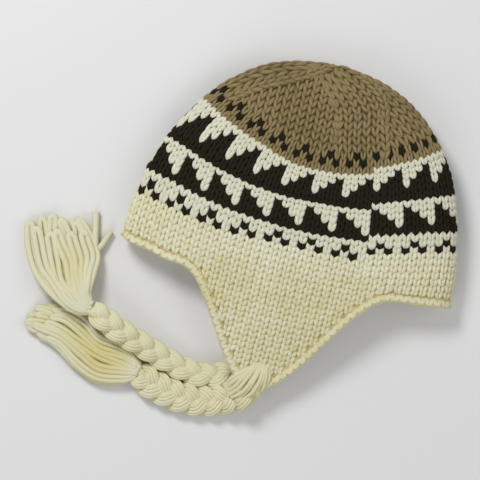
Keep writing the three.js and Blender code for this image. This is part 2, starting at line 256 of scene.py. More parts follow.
def yarn_material(name, light, shade, sheen, shine=0.25):
    """Fibres, clouds and the stored tone add up, and what is over SHADE_START turns towards the painted
    shade colour.
    """
    made = bpy.data.materials.new(name)
    made.use_nodes = True
    tree = made.node_tree
    shader = tree.nodes["Principled BSDF"]
    shader.inputs["Roughness"].default_value = 0.92
    shader.inputs["Specular IOR Level"].default_value = shine
    shader.inputs["Sheen Weight"].default_value = sheen
    shader.inputs["Sheen Roughness"].default_value = 0.6
    strand = group_node(tree, fibres)
    cloud = group_node(tree, clouds)
    tone = node(tree, "ShaderNodeAttribute", attribute_name="tone")
    share = math_node(tree, "MULTIPLY", strand.outputs["Fibre"], FIBRE_SHARE)
    share = math_node(tree, "ADD", share, cloud.outputs["Cloud"])
    share = math_node(tree, "ADD", share, tone.outputs["Fac"])
    share = math_node(tree, "SUBTRACT", share, SHADE_START)
    link(tree, two_colours(tree, light, shade, share), shader.inputs["Base Color"])
    bump = node(tree, "ShaderNodeBump", Strength=0.5, Distance=0.0006)
    link(tree, strand.outputs["Height"], bump.inputs["Height"])
    link(tree, bump.outputs[0], shader.inputs["Normal"])
    return made


# Each yarn gets a lit colour and a painted shade colour, the colour that its hollows have in shade.
cream_yarn = yarn_material("cream_yarn", (0.79, 0.77, 0.585), (0.59, 0.525, 0.20), sheen=0.06)
white_yarn = yarn_material("band_white_yarn", (0.73, 0.725, 0.585), (0.60, 0.56, 0.34), sheen=0.06)
brown_yarn = yarn_material(
    "brown_yarn", (0.020, 0.0165, 0.0088), (0.003, 0.0024, 0.0012), sheen=0.01, shine=0.1
)
tan_yarn = yarn_material("tan_yarn", (0.29, 0.22, 0.10), (0.085, 0.058, 0.020), sheen=0.04)
plait_yarn = yarn_material("plait_yarn", (0.755, 0.73, 0.50), (0.60, 0.505, 0.15), sheen=0.06)
tassel_yarn = yarn_material("tassel_yarn", (0.725, 0.705, 0.51), (0.63, 0.54, 0.15), sheen=0.06)
print("yarns:", [m.name for m in bpy.data.materials if m.name.endswith("yarn")])

# %% [markdown]
# ## The shape of the hat
# The solids were lofted from a few sizes: how wide the hat is at each height, how far its two sides
# stand apart, and how each row of knitting rises towards the folds. Stitches could be scattered over
# the solids' faces, but they would not line up in rows. The same sizes are repeated here in
# millimetres instead, so every stitch can be laid on the hat's own surface in its row and column.

# %% Sizes of the hat, in millimetres
WALL = 5.5
BRIM_WIDTH = 276
CROWN_HEIGHT = 173
OUTLINE_UP, OUTLINE_ACROSS = 1.9, 2.33
FOLD_POWER = 4.5
HALF_BRIM = (BRIM_WIDTH - WALL) / 2
CROWN_TOP = CROWN_HEIGHT - WALL / 2
FLAP_ROOT_ROW = -13
BAND_FOOT_ROW = 14
TAN_FOOT_ROW = 83
RISE_BRIM, RISE_LINEAR, RISE_SQUARE = 15.5, 44, 120
TILT_BRIM, TILT_RUN = 4.7, 90
LEAN_ACROSS, LEAN_FOOT, LEAN_RUN = 2.5, 55, 60
DEPTH_BRIM, DEPTH_SWELL = 16.5, 22
FOLD_HEIGHT = 14
HEM_WIDTH = 7
HEM_HALF_THICK = 3.4
EDGE_MIDDLE, EDGE_CORNER_RISE = -11, 6
FLAP_MIDDLE = 2.7
FLAP_SLOPE_LEFT, FLAP_SLOPE_RIGHT = 89, 93
SHOULDER_MIDDLE, SHOULDER_HALF_WIDTH, SHOULDER_DROOP = -93, 26, 4.3
LEFT_CORNER_RISE, LEFT_CORNER_POWER = 4.5, 24
FLAP_DROP = {1: 91, -1: 67}
FLAP_TIP_SHIFT = {1: 1.5, -1: 13}
UPPER_TIP_HEIGHT = 18.5

TO_FRAME = np.array([0.0, crown_high[1] / MM - CROWN_HEIGHT, 0.0])


def to_frame(points):
    return (np.asarray(points, float) + TO_FRAME) * MM


print("hat's own millimetres move by", np.round(TO_FRAME, 2))


# %% Surface of the knitting
def clamp01(value):
    return np.clip(value, 0, 1)


def smooth_step(value):
    s = clamp01(value)
    return s * s * (3 - 2 * s)


def half_width_at(y):
    return HALF_BRIM * (1 - clamp01(y / CROWN_TOP) ** OUTLINE_UP) ** (1 / OUTLINE_ACROSS)


def depth_at(row):
    t = clamp01((row - FLAP_ROOT_ROW) / (CROWN_TOP - FLAP_ROOT_ROW))
    half = (DEPTH_BRIM + DEPTH_SWELL * t * (1 - t)) * np.sqrt(1 - t**6)
    over = np.maximum(0, half - FOLD_HEIGHT)
    fold = FOLD_HEIGHT + over * over / (over + 2)
    rise = (1 - t) * (RISE_BRIM + RISE_LINEAR * t + RISE_SQUARE * t * t)
    return half, fold, rise


def skin(u, side, row):
    """The middle of the knitted wall: u runs from fold to fold (-1 to 1), side is 1 on the side that
    faces up and -1 on the side that lies on the floor, and row is the height in the hat's middle."""
    u, side, row = np.broadcast_arrays(*(np.asarray(v, float) for v in (u, side, row)))
    half, fold, rise = depth_at(row)
    run = np.maximum(0, FLAP_ROOT_ROW - row)
    drop = np.where(side > 0, FLAP_DROP[1], FLAP_DROP[-1])
    shift = np.where(side > 0, FLAP_TIP_SHIFT[1], FLAP_TIP_SHIFT[-1]) * (run / drop) ** 2
    bend = np.sqrt(np.maximum(0, 1 - np.abs(u) ** FOLD_POWER))
    sink = np.where(side > 0, smooth_step(run / drop), 0)
    standing = fold + side * half * bend
    z = standing * (1 - sink) + UPPER_TIP_HEIGHT * sink
    tilt = TILT_BRIM * (1 - smooth_step((row - FLAP_ROOT_ROW) / TILT_RUN)) * u
    y = row + rise * u * u + tilt
    lean = LEAN_ACROSS * smooth_step((y - LEAN_FOOT) / LEAN_RUN)
    x = half_width_at(row + rise + tilt) * u + lean - shift
    return np.stack([x, y, np.maximum(WALL / 2, z)], axis=-1)


def skin_at(angle, row):
    return skin(np.cos(angle), np.where(np.sin(angle) >= 0, 1.0, -1.0), row)


def unit(vectors):
    size = np.linalg.norm(vectors, axis=-1, keepdims=True)
    return vectors / np.maximum(size, 1e-9)


def outward(angle, row, turn=0.004, rise=0.4):
    """The way out of the wall, from two short steps along it."""
    around = skin_at(angle - turn, row) - skin_at(angle + turn, row)
    up = skin_at(angle, row + rise) - skin_at(angle, row - rise)
    return unit(np.cross(around, up))


print("brim width mm:", round(float(2 * half_width_at(0) + WALL), 1))


# %% Edge of the opening and the flaps
def bell(offset):
    """1 in the middle and 0 from one unit away."""
    return 0.5 * (1 + np.cos(np.pi * clamp01(np.abs(offset))))


def edge_row(angle):
    """The lowest row at each place round the hat: the brim, and the flaps that hang from it."""
    u = np.cos(angle)
    offset = u * HALF_BRIM + FLAP_MIDDLE
    slope_width = np.where(offset < 0, FLAP_SLOPE_LEFT, FLAP_SLOPE_RIGHT)
    drop = np.where(np.sin(angle) >= 0, FLAP_DROP[1], FLAP_DROP[-1]) * bell(offset / slope_width)
    droop = SHOULDER_DROOP * bell((u * HALF_BRIM - SHOULDER_MIDDLE) / SHOULDER_HALF_WIDTH)
    corner = np.where(u < 0, LEFT_CORNER_RISE * u**LEFT_CORNER_POWER, 0)
    return EDGE_MIDDLE + (EDGE_CORNER_RISE - RISE_BRIM) * u * u + corner - drop - droop


def edge_frame(angle, turn=0.01):
    """A point on the edge, the way down off the edge, and the way out of the wall."""
    row = edge_row(angle)
    point = skin_at(angle, row)
    after = skin_at(angle + turn, edge_row(angle + turn))
    before = skin_at(angle - turn, edge_row(angle - turn))
    along = unit(after - before)
    out = outward(angle, row)
    down = unit(np.cross(along, out))
    up = skin_at(angle, row + 1) - point
    down = np.where((down * up).sum(-1, keepdims=True) > 0, -down, down)
    return point, down, out


print("edge at the upper flap's tip, row:", round(float(edge_row(np.pi / 2)), 1))

# %% [markdown]
# ## The plaits
# Each flap ends in a plait of three strands, and each strand is a bundle of soft yarns. A plait could
# be one lump repeated along a curve, but then the yarns would break at each joint. Here it is one
# formula: three strands swing from side to side a third of a beat apart, and each goes up and down
# twice as often, so it passes over one neighbour and under the other. The yarn is modelled once,
# straight, and every yarn of the plaits and tassels is a bent copy of it.

# %% Straight yarn, modelled once
YARN_SIDES = 8
YARN_RINGS = 110

bpy.ops.object.select_all(action="DESELECT")
bpy.ops.mesh.primitive_cylinder_add(
    vertices=YARN_SIDES, radius=1, depth=1, end_fill_type="NGON", location=(0, 0, 0)
)
straight = bpy.context.object
straight.name = "straight_yarn"
bpy.ops.object.mode_set(mode="EDIT")
bpy.ops.mesh.select_all(action="DESELECT")
bpy.ops.mesh.select_mode(type="EDGE")
bpy.ops.object.mode_set(mode="OBJECT")
for edge in straight.data.edges:
    ends = [straight.data.vertices[i].co.z for i in edge.vertices]
    edge.select = abs(ends[0] - ends[1]) > 0.5
bpy.ops.object.mode_set(mode="EDIT")
bpy.ops.mesh.subdivide(number_cuts=YARN_RINGS - 2)
bpy.ops.object.mode_set(mode="OBJECT")
print("straight yarn:", len(straight.data.vertices), "points")


# %% The yarn as plain arrays
class Pattern:
    """A small mesh as plain arrays, ready to be copied many times."""

    def __init__(self, obj):
        mesh = obj.data
        self.points = np.array([v.co[:] for v in mesh.vertices])
        self.corners = np.array([c.vertex_index for c in mesh.loops])
        self.starts = np.array([p.loop_start for p in mesh.polygons])
        self.counts = np.array([p.loop_total for p in mesh.polygons])
        self.around = np.zeros(len(self.corners))
        self.along = np.zeros(len(self.corners))

    def wrap(self, turns):
        """Stores each corner's share of a turn round the yarn. A face across the start of the turn
        runs on past 1, so that its fibres don't run backwards. End caps, with more than four
        corners, stay as they are."""
        for first, count in zip(self.starts, self.counts):
            own = slice(first, first + count)
            turn = turns[self.corners[own]].copy()
            if count <= 4 and turn.max() - turn.min() > 0.5:
                turn[turn < 0.5] += 1
            self.around[own] = turn


yarn = Pattern(straight)
yarn_turns = np.arctan2(yarn.points[:, 1], yarn.points[:, 0]) / (2 * np.pi) % 1.0
yarn_turns[yarn_turns > 1 - 1e-4] = 0.0
yarn.wrap(yarn_turns)
yarn.ring = np.rint((yarn.points[:, 2] + 0.5) * (YARN_RINGS - 1)).astype(int)
yarn.along = yarn.ring[yarn.corners] / (YARN_RINGS - 1)
bpy.data.objects.remove(straight)
print("straight yarn:", len(yarn.counts), "faces")


# %% Joined copies of a pattern
def joined_copies(name, pattern, points, along_scale, tones, material):
    """points is copies x pattern points x 3, in metres; tones is copies x pattern points: random tone and
    painted shade.
    """
    copies, per = points.shape[:2]
    corner_step = np.arange(copies)[:, None] * per
    corners = (pattern.corners[None, :] + corner_step).ravel()
    total = len(pattern.corners)
    starts = (pattern.starts[None, :] + np.arange(copies)[:, None] * total).ravel()
    mesh = bpy.data.meshes.new(name)
    mesh.vertices.add(copies * per)
    mesh.vertices.foreach_set("co", points.reshape(-1).astype(np.float32))
    mesh.loops.add(len(corners))
    mesh.loops.foreach_set("vertex_index", corners.astype(np.int32))
    mesh.polygons.add(len(starts))
    mesh.polygons.foreach_set("loop_start", starts.astype(np.int32))
    mesh.update(calc_edges=True)
    layer = mesh.uv_layers.new(name="yarn")
    uv = np.empty((copies, total, 2), np.float32)
    uv[:, :, 0] = pattern.around[None, :]
    uv[:, :, 1] = pattern.along[None, :] * np.asarray(along_scale)[:, None]
    layer.data.foreach_set("uv", uv.ravel())
    tone = mesh.attributes.new("tone", "FLOAT", "POINT")
    tone.data.foreach_set("value", tones.ravel().astype(np.float32))
    mesh.polygons.foreach_set("use_smooth", np.ones(len(starts), bool))
    mesh.validate()
    mesh.materials.append(material)
    obj = bpy.data.objects.new(name, mesh)
    bpy.context.collection.objects.link(obj)
    return obj


print("a copy of the yarn has", len(yarn.corners), "corners")

# %% Smooth lines and bent yarns
SPAN_STEPS = 24


def even_path(points, count):
    """A smooth line through the points, at count even steps."""
    p = np.asarray(points, float)
    p = np.vstack([2 * p[0] - p[1], p, 2 * p[-1] - p[-2]])
    t = np.linspace(0, 1, SPAN_STEPS, endpoint=False)[:, None]
    spans = []
    for a, b, c, d in zip(p[:-3], p[1:-2], p[2:-1], p[3:]):
        span = 2 * b + (c - a) * t + (2 * a - 5 * b + 4 * c - d) * t**2 + (3 * b - a - 3 * c + d) * t**3
        spans.append(0.5 * span)
    fine = np.vstack([*spans, p[-2:-1]])
    run = np.concatenate([[0], np.cumsum(np.linalg.norm(np.diff(fine, axis=0), axis=1))])
    even = np.linspace(0, run[-1], count)
    return np.stack([np.interp(even, run, fine[:, i]) for i in range(3)], axis=1)


def path_length(points):
    return float(np.linalg.norm(np.diff(points, axis=0), axis=1).sum())


# As shares of a yarn's radius: the height where the painted shade changes nothing, and the height
# below which the painted shade deepens no more.
EVEN_SHADE_HEIGHT = 0.4
DEEPEST_SHADE_HEIGHT = 0.1
YARN_TONE_SPREAD = 0.06


def spin(name, paths, radii, material, shade, tones):
    """Bends one copy of the straight yarn along each path (in the hat's millimetres). tones
    sets the colour along each yarn, painted shade included, and shade is painted shade: how much
    lighter each yarn is painted on top than on its sides and underneath."""
    paths = np.stack(paths)
    along = unit(np.gradient(paths, axis=1))
    side = unit(np.cross(along, np.array([0, 0, 1.0])))
    up = np.cross(side, along)
    radii = np.broadcast_to(radii, paths.shape[:2])
    ring = yarn.ring
    x = yarn.points[None, :, 0:1] * radii[:, ring, None]
    y = yarn.points[None, :, 1:2] * radii[:, ring, None]
    points = paths[:, ring] + side[:, ring] * x + up[:, ring] * y
    lengths = [path_length(p) * MM for p in paths]
    tones = np.broadcast_to(tones, radii.shape)
    tones = tones + random_draw.normal(0, YARN_TONE_SPREAD, (len(paths), 1))
    height = np.maximum(yarn.points[None, :, 1], DEEPEST_SHADE_HEIGHT)
    tones = tones[:, ring] + shade * (EVEN_SHADE_HEIGHT - height)
    return joined_copies(name, yarn, to_frame(points), lengths, tones, material)


print("each yarn is bent at", YARN_RINGS, "rings")

# %% Routes of the plaits, in the hat's millimetres
PLAIT_UPPER_ROUTE = [
    (-4.2, -90.5, 23.5), (-5.6, -96.5, 21.8), (-7.8, -101.9, 18.4), (-10.0, -107.0, 16.9),
    (-17.0, -111.0, 12.6), (-26.6, -116.4, 8.4), (-38.1, -120.2, 6.7), (-51.2, -122.4, 6.7),
    (-64.3, -122.1, 6.7), (-76.3, -119.9, 6.7), (-87.3, -116.6, 6.7), (-95.5, -113.6, 6.7),
    (-101.5, -111.4, 6.8),
]
PLAIT_LOWER_ROUTE = [
    (-16.8, -75.5, 6.7), (-17.2, -78.9, 6.7), (-19.2, -84.5, 6.7), (-22.6, -89.2, 6.7),
    (-28.4, -95.0, 6.7), (-38.2, -99.2, 6.7), (-50.6, -101.0, 6.7), (-62.6, -99.4, 6.9),
    (-74.9, -96.3, 7.6), (-88.3, -92.2, 9.4), (-101.8, -87.4, 12.4), (-114.5, -83.2, 15.6),
    (-126.0, -78.6, 18.2), (-137.0, -73.2, 19.3), (-142.3, -70.2, 19.4), (-147.5, -67.2, 19.2),
]
print("route points:", len(PLAIT_UPPER_ROUTE), "and", len(PLAIT_LOWER_ROUTE))

# %% Three strands along a route
STRANDS = 3
STRAND_YARNS = 10
PLAIT_YARN_RADIUS = 1.6
STRAND_HALF_HEIGHT = 1.75
STRAND_LIFT = 2.8
ROUTE_STEPS = 400
FLOOR_GAP = 0.1
PLAIT_SHADE = 0.45
PLAIT_TONE = 0.14


def plait_yarns(route, lobe, phase, swing, half_width, tight_ends):
    """Yarn paths of a plait along the route. lobe is the length of one bump of the edge, swing and
    half_width belong to a strand, and tight_ends draws the plait in: each pair is a distance from
    the start, or if it is below zero from the end, and the share of the width that is left there."""
    centre = even_path(route, ROUTE_STEPS)
    length = path_length(centre)
    along = unit(np.gradient(centre, axis=0))
    side = unit(np.cross(along, np.array([0, 0, 1.0])))
    up = np.cross(side, along)
    run = np.linspace(0, length, ROUTE_STEPS)
    open_up = np.ones(ROUTE_STEPS)
    for distance, share in tight_ends:
        edge = run if distance > 0 else length - run
        open_up = np.minimum(open_up, share + (1 - share) * smooth_step(edge / abs(distance)))
    beat = 2 * np.pi * run / (STRANDS * lobe)
    paths = []
    for strand in range(STRANDS):
        turn = beat + phase + 2 * np.pi * strand / STRANDS
        aside = swing * np.sin(turn) * open_up
        lift = STRAND_LIFT * np.sin(2 * turn) * open_up
        line = centre + side * aside[:, None] + up * lift[:, None]
        way = unit(np.gradient(line, axis=0))
        across = unit(np.cross(way, up))
        roof = np.cross(across, way)
        for n in range(STRAND_YARNS):
            place = 2 * np.pi * (n + 0.5) / STRAND_YARNS
            edge = half_width * math.cos(place) * open_up
            rise = STRAND_HALF_HEIGHT * math.sin(place) * open_up
            path = line + across * edge[:, None] + roof * rise[:, None]
            path[:, 2] = np.maximum(path[:, 2], PLAIT_YARN_RADIUS + FLOOR_GAP)
            paths.append(even_path(path[::4], YARN_RINGS))
    return centre, paths


print("yarns in a plait:", STRANDS * STRAND_YARNS)


# %% Plaits
def make_plait(name, node_name, route, **shape):
    centre, paths = plait_yarns(route, **shape)
    piece = spin(name, paths, PLAIT_YARN_RADIUS, plait_yarn, PLAIT_SHADE, PLAIT_TONE)
    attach(piece, "root")
    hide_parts(node_name)
    line = to_frame(centre[::8])
    print(name, "length mm:", round(path_length(centre), 1), "yarns:", len(paths))
    return piece, line


upper_plait, upper_line = make_plait(
    "upper_plait", "plait_upper", PLAIT_UPPER_ROUTE,
    lobe=12.8, phase=0.6, swing=7.5, half_width=4.5, tight_ends=[(16, 0.3), (-10, 0.5)],
)
lower_plait, lower_line = make_plait(
    "lower_plait", "plait_lower", PLAIT_LOWER_ROUTE,
    lobe=15.2, phase=0.0, swing=5.3, half_width=4.0, tight_ends=[(14, 0.5), (-10, 0.55)],
)

# %% [markdown]
# ## Where the upper plait starts
# The plait's yarns are drawn through the tip of the flap and spread over it like a small fan. The
# fan could be part of the plait's formula, but its yarns lie side by side and don't cross, so a few
# points across the fan at four heights are enough: each yarn runs through one place in every row.

# %% Yarns that fan out of the upper flap's tip
FAN_YARNS = 10
FAN_YARN_RADIUS = 1.95
FAN_SPREAD = 0.45
FAN_SUNK = np.array([0.6, 3.5, -3.5])
THINNEST, THICKEST = 0.88, 1.12
FAN_ROWS = (
    [(-9.0, -83.4, 22.4), (-5.4, -81.8, 23.2), (-1.4, -81.4, 23.2), (2.2, -81.6, 22.8), (5.4, -82.6, 22)],
    [(-16.2, -90.0, 22.6), (-11.4, -91.2, 25.4), (-5.4, -92.2, 26.4), (1.2, -91.6, 25.6), (7, -90, 22.8)],
    [(-22.6, -97, 18.6), (-17.6, -101.6, 22.4), (-10.4, -104.4, 24), (-2.4, -103.2, 23), (5.4, -98.4, 19.2)],
    [(-25.5, -104, 10), (-23.5, -109, 14), (-18.5, -112.5, 16.4), (-11, -112.8, 16), (-3.6, -108.6, 12)],
)
fan_paths = []
for lines in zip(*(even_path(row, FAN_YARNS) for row in FAN_ROWS)):
    sunk = lines[0] + FAN_SUNK
    lines = np.array(lines) + random_draw.normal(0, FAN_SPREAD, (len(FAN_ROWS), 3))
    fan_paths.append(even_path([sunk, *lines], YARN_RINGS))
fan_radii = FAN_YARN_RADIUS * random_draw.uniform(THINNEST, THICKEST, (FAN_YARNS, 1))
fan = spin("upper_plait_root", fan_paths, fan_radii, plait_yarn, PLAIT_SHADE, PLAIT_TONE)
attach(fan, "root")
print("fan yarns:", len(fan_paths))

# %% [markdown]
# ## The tassels
# The plait's yarns end in long uncut loops. Each loop leaves the plait, runs out to the tip, turns
# round and comes back beside itself. Hair particles could fill a tassel with cut ends, but they make
# no loops, so each loop is a bent yarn. The loops lie in three layers between a near and a far edge,
# and painted shade deepens their colour to ochre in the middle of the tassel and in the lower layers,
# where little light gets in.

# %% Outlines of the tassels
# Each row: near x, near y, far x, far y, height of the middle, half thickness.
TASSEL_UPPER_ROWS = [
    (-99, -114.2, -97, -106.2, 6.6, 5.4),
    (-108, -119.6, -112.4, -98.2, 6.2, 5.6),
    (-129, -122.6, -133.6, -96.2, 6, 5.5),
    (-148.5, -115.8, -149.1, -87.6, 5.8, 5.3),
    (-162, -105.2, -162.4, -80.4, 5.6, 5.1),
    (-174, -100, -172.1, -76.6, 5.3, 4.9),
    (-184.4, -99.4, -178, -75.4, 4.6, 4.4),
]
TASSEL_LOWER_ROWS = [
    (-147, -70, -148, -64, 18.6, 5.2),
    (-158.2, -71.4, -153.2, -57.6, 18.6, 5.4),
    (-170.4, -66.2, -155.2, -50, 18.2, 5.5),
    (-185, -57.4, -155.8, -39.4, 14.4, 5.5),
    (-197.6, -45.8, -156.2, -27.6, 8.8, 5.5),
    (-208.2, -27.6, -163.6, -14, 6, 5.4),
    (-212, -11, -174, -1.4, 4.8, 4.6),
]
print("outline rows:", len(TASSEL_UPPER_ROWS), "and", len(TASSEL_LOWER_ROWS))

# %% Loops of a tassel
# Each layer: height share, outward push in mm, yarn radius, shares of the loops' middles, half the
# share between a loop's two legs, shortest and longest reach.
TASSEL_LAYERS = (
    (-1, 2.2, 2.0, np.linspace(0.05, 0.95, 7), 0.042, 0.93, 1.0),
    (0.2, 3.2, 2.05, np.linspace(0.04, 0.96, 6), 0.046, 0.94, 1.0),
    (1, 2.0, 2.2, np.linspace(0.10, 0.90, 5), 0.052, 0.70, 0.97),
)
# Loops wander a little: their middles by a share of the width, their way by a wave in mm. The
# layers sink at the edges, each tip is rounded by some mm, and lower layers get more painted shade.
MIDDLE_SPREAD = 0.012
WAVE = 0.7
EDGE_SINK = 0.35
LEG_STEPS = 60
TIP_ROUND = 0.8
TASSEL_SHADE = 0.85
LAYER_SHADE = 0.1


def tassel_loops(rows, bulge, far_push, thick, tone):
    """Paths, radii and tones with painted shade of the loops. bulge moves the tip's middle, far_push
    fills out the far edge, thick scales the yarns, and tone is how much painted shade the
    middle of the tassel gets."""
    rows = np.array(rows, float)
    last = len(rows) - 1
    step = np.arange(last + 1)
    across = rows[:, 2:4] - rows[:, 0:2]
    width = np.linalg.norm(across, axis=1)[:, None]
    across = across / width
    # The first rows open out from the plait, the last ones bulge, and the far edge fills out between.
    fuller = smooth_step((step + 0.4) / 2.4)[:, None]
    swell = (np.maximum(0, step - 3) / (last - 3))[:, None] * np.array(bulge, float)
    far = far_push * np.sin(np.pi * clamp01(step / 5.5))[:, None]
    from_tip = np.abs(np.linspace(-1, 1, YARN_RINGS))
    paths, radii, tones = [], [], []
    for layer, push, radius, middles, half_gap, shortest, longest in TASSEL_LAYERS:
        radius = radius * thick
        for middle in middles + random_draw.normal(0, MIDDLE_SPREAD, len(middles)):
            reach = random_draw.uniform(shortest, longest)
            wave = random_draw.normal(0, WAVE, (last + 1, 2)) * (0.6 + 0.2 * step[:, None])
            legs = []
            for share in (middle - half_gap, middle + half_gap):
                along = share * (width + far) + (2 * share - 1) * push * fuller
                flat = rows[:, 0:2] + across * along + swell * math.sin(math.pi * clamp01(share)) + wave
                dome = 1 - EDGE_SINK * abs(2 * share - 1) ** 3
                z = rows[:, 4] + layer * (rows[:, 5] - radius) * dome
                z = np.maximum(z, THICKEST * radius + FLOOR_GAP)
                whole = even_path(np.column_stack([flat, z]), LEG_STEPS)
                legs.append(whole[: int(LEG_STEPS * reach)])
            tip = (legs[0][-1] + legs[1][-1]) / 2
            ahead = unit((legs[0][-1] - legs[0][-3]) + (legs[1][-1] - legs[1][-3]))
            apart = np.linalg.norm(legs[0][-1] - legs[1][-1]) / 2
            bend = tip + ahead * (TIP_ROUND + apart)
            loop = np.vstack([legs[0][::3], legs[0][-1:], bend[None], legs[1][-1:], legs[1][::-3]])
            paths.append(even_path(loop, YARN_RINGS))
            radii.append(np.full(YARN_RINGS, radius * random_draw.uniform(THINNEST, THICKEST)))
            # The painted shade is deepest halfway along the middle loops, where little light gets in, and
            # pale at the tip and the plait.
            inner = 1 - 0.7 * (2 * middle - 1) ** 2
            halfway = np.sin(np.pi * from_tip**1.2) ** 0.7
            tones.append((tone * inner + LAYER_SHADE * (1 - layer)) * halfway)
    return paths, radii, tones


print("loops in a tassel:", sum(len(layer[3]) for layer in TASSEL_LAYERS))


# %% Tassels
LOOSE_END_RADIUS = 1.95


def make_tassel(name, node_name, rows, loose_ends, **shape):
    """loose_ends are single yarns: where each starts, its knee, its tip, and its radius there."""
    paths, radii, tones = tassel_loops(rows, **shape)
    for start, foot, tip, end_radius in loose_ends:
        start, foot, tip = (np.array(point, float) for point in (start, foot, tip))
        paths.append(even_path([start, (start + foot) / 2, foot, (foot + tip) / 2, tip], YARN_RINGS))
        radii.append(np.linspace(LOOSE_END_RADIUS, end_radius, YARN_RINGS))
        tones.append(np.zeros(YARN_RINGS))
    piece = spin(name, paths, np.stack(radii), tassel_yarn, TASSEL_SHADE, np.stack(tones))
    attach(piece, "root")
    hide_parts(node_name)
    print(name, "yarns:", len(paths))
    return piece


LOOSE_ENDS = [
    ((-153, -57.6, 18.6), (-155.4, -27, 8), (-163.2, 9, 3.2), 3.1),
    ((-153, -57.6, 18.2), (-155.4, -25, 7.4), (-147.4, -3.6, 3.0), 2.6),
]
upper_tassel = make_tassel(
    "upper_tassel", "tassel_upper", TASSEL_UPPER_ROWS, [],
    bulge=(-18, -1), far_push=7.0, thick=1.06, tone=1.0,
)
lower_tassel = make_tassel(
    "lower_tassel", "tassel_lower", TASSEL_LOWER_ROWS, LOOSE_ENDS,
    bulge=(0, 2.5), far_push=0.0, thick=1.2, tone=0.6,
)

# %% [markdown]
# ## Lengths of the plaits
# A plait bends along its whole length, so it gets no joint. The length of the line that each plait
# lies on is printed.

# %% Lengths of the plaits
print("cords:", round(path_length(upper_line), 4), round(path_length(lower_line), 4))

# %% [markdown]
# ## The stitch
# Plain knitting shows columns of V shapes. Each V has two legs, and each leg looks like a grain of
# rice: full in the middle, thin at both ends, and sunk most at its top, where the next stitch comes
# out over it. A bump picture of knitting would be flat at the hat's edge, so the legs are real: one
# is modelled from a sphere with few faces, and thousands of copies are laid on the hat.

# %% One leg of a stitch
LEG_SIDES = 7
LEG_RINGS = 6
LEG_FULLNESS = 0.62
TOP_SINK, ENDS_SINK = 0.13, 0.24

bpy.ops.object.select_all(action="DESELECT")
bpy.ops.mesh.primitive_uv_sphere_add(
    segments=LEG_SIDES, ring_count=LEG_RINGS, radius=0.5, location=(0, 0, 0)
)
grain = bpy.context.object
grain.name = "stitch_leg"
bpy.ops.object.mode_set(mode="EDIT")
bpy.ops.mesh.select_all(action="SELECT")
bpy.ops.transform.rotate(value=math.pi / 2, orient_axis="X", center_override=(0, 0, 0))
bpy.ops.object.mode_set(mode="OBJECT")
for v in grain.data.vertices:
    share = v.co.y * 2
    girth_here = math.hypot(v.co.x, v.co.z)
    if girth_here > 1e-5:
        full = max(0, 1 - share * share) ** LEG_FULLNESS * 0.5
        v.co.x *= full / girth_here
        v.co.z *= full / girth_here
    v.co.z += -TOP_SINK * share - ENDS_SINK * share * share
leg = Pattern(grain)
leg.wrap(np.arctan2(leg.points[:, 2], leg.points[:, 0]) / (2 * np.pi) % 1.0)
leg.along = leg.points[leg.corners, 1] + 0.5
bpy.data.objects.remove(grain)
print("stitch leg:", len(leg.points), "points,", len(leg.counts), "faces")

# %% [markdown]
# ## Rows and columns
# Eighty stitches go round the hat. The pattern could be painted on as a picture, but a knitter works
# it stitch by stitch from a chart, and so does this lesson. The chart has four columns that repeat:
# dots, two rows of saw teeth, and dots again in the crown. Where the rounds of knitting join, the
# chart steps up by one row, as it does in every hat knitted in the round.

# %% The chart
STITCHES_ROUND = 80
SEAM_COLUMN = 9
FLAP_PITCH = 4.75
ROW_FEET = (
    -13.2, -8.0, -2.8, 2.5, 7.7, 13.0, 18.2, 23.0, 28.0, 31.7,
    36.6, 42.4, 48.2, 53.0, 56.6, 60.3, 64.3, 69.6, 75.0, 78.4,
)
CROWN_FIRST = len(ROW_FEET)
LOWER_TEETH_ROW, LOWER_TEETH = 9, (4, 3, 2, 1)
UPPER_TEETH_ROW, UPPER_TEETH = 14, (2, 3, 4, 5)
WHITE_FIRST = 6
DOT_ROWS = {6: (0, 2), 7: (1,), 21: (0, 2), 22: (1,)}
CHART_COLUMNS, CHART_START = 4, 3
CREAM, BROWN, WHITE, TAN = range(4)


def chart(column, row):
    """The yarn of one stitch."""
    place = (column + CHART_START) % CHART_COLUMNS
    if column >= SEAM_COLUMN:
        row = row - 1
    if place in DOT_ROWS.get(row, ()):
        return BROWN
    if row >= CROWN_FIRST:
        return TAN
    if 0 <= row - LOWER_TEETH_ROW < LOWER_TEETH[place]:
        return BROWN
    if 0 <= row - UPPER_TEETH_ROW < UPPER_TEETH[place]:
        return BROWN
    return WHITE if row >= WHITE_FIRST else CREAM


for row in range(23, 4, -1):
    print("".join(".#ot"[chart(c, row)] for c in range(-14, 26)))

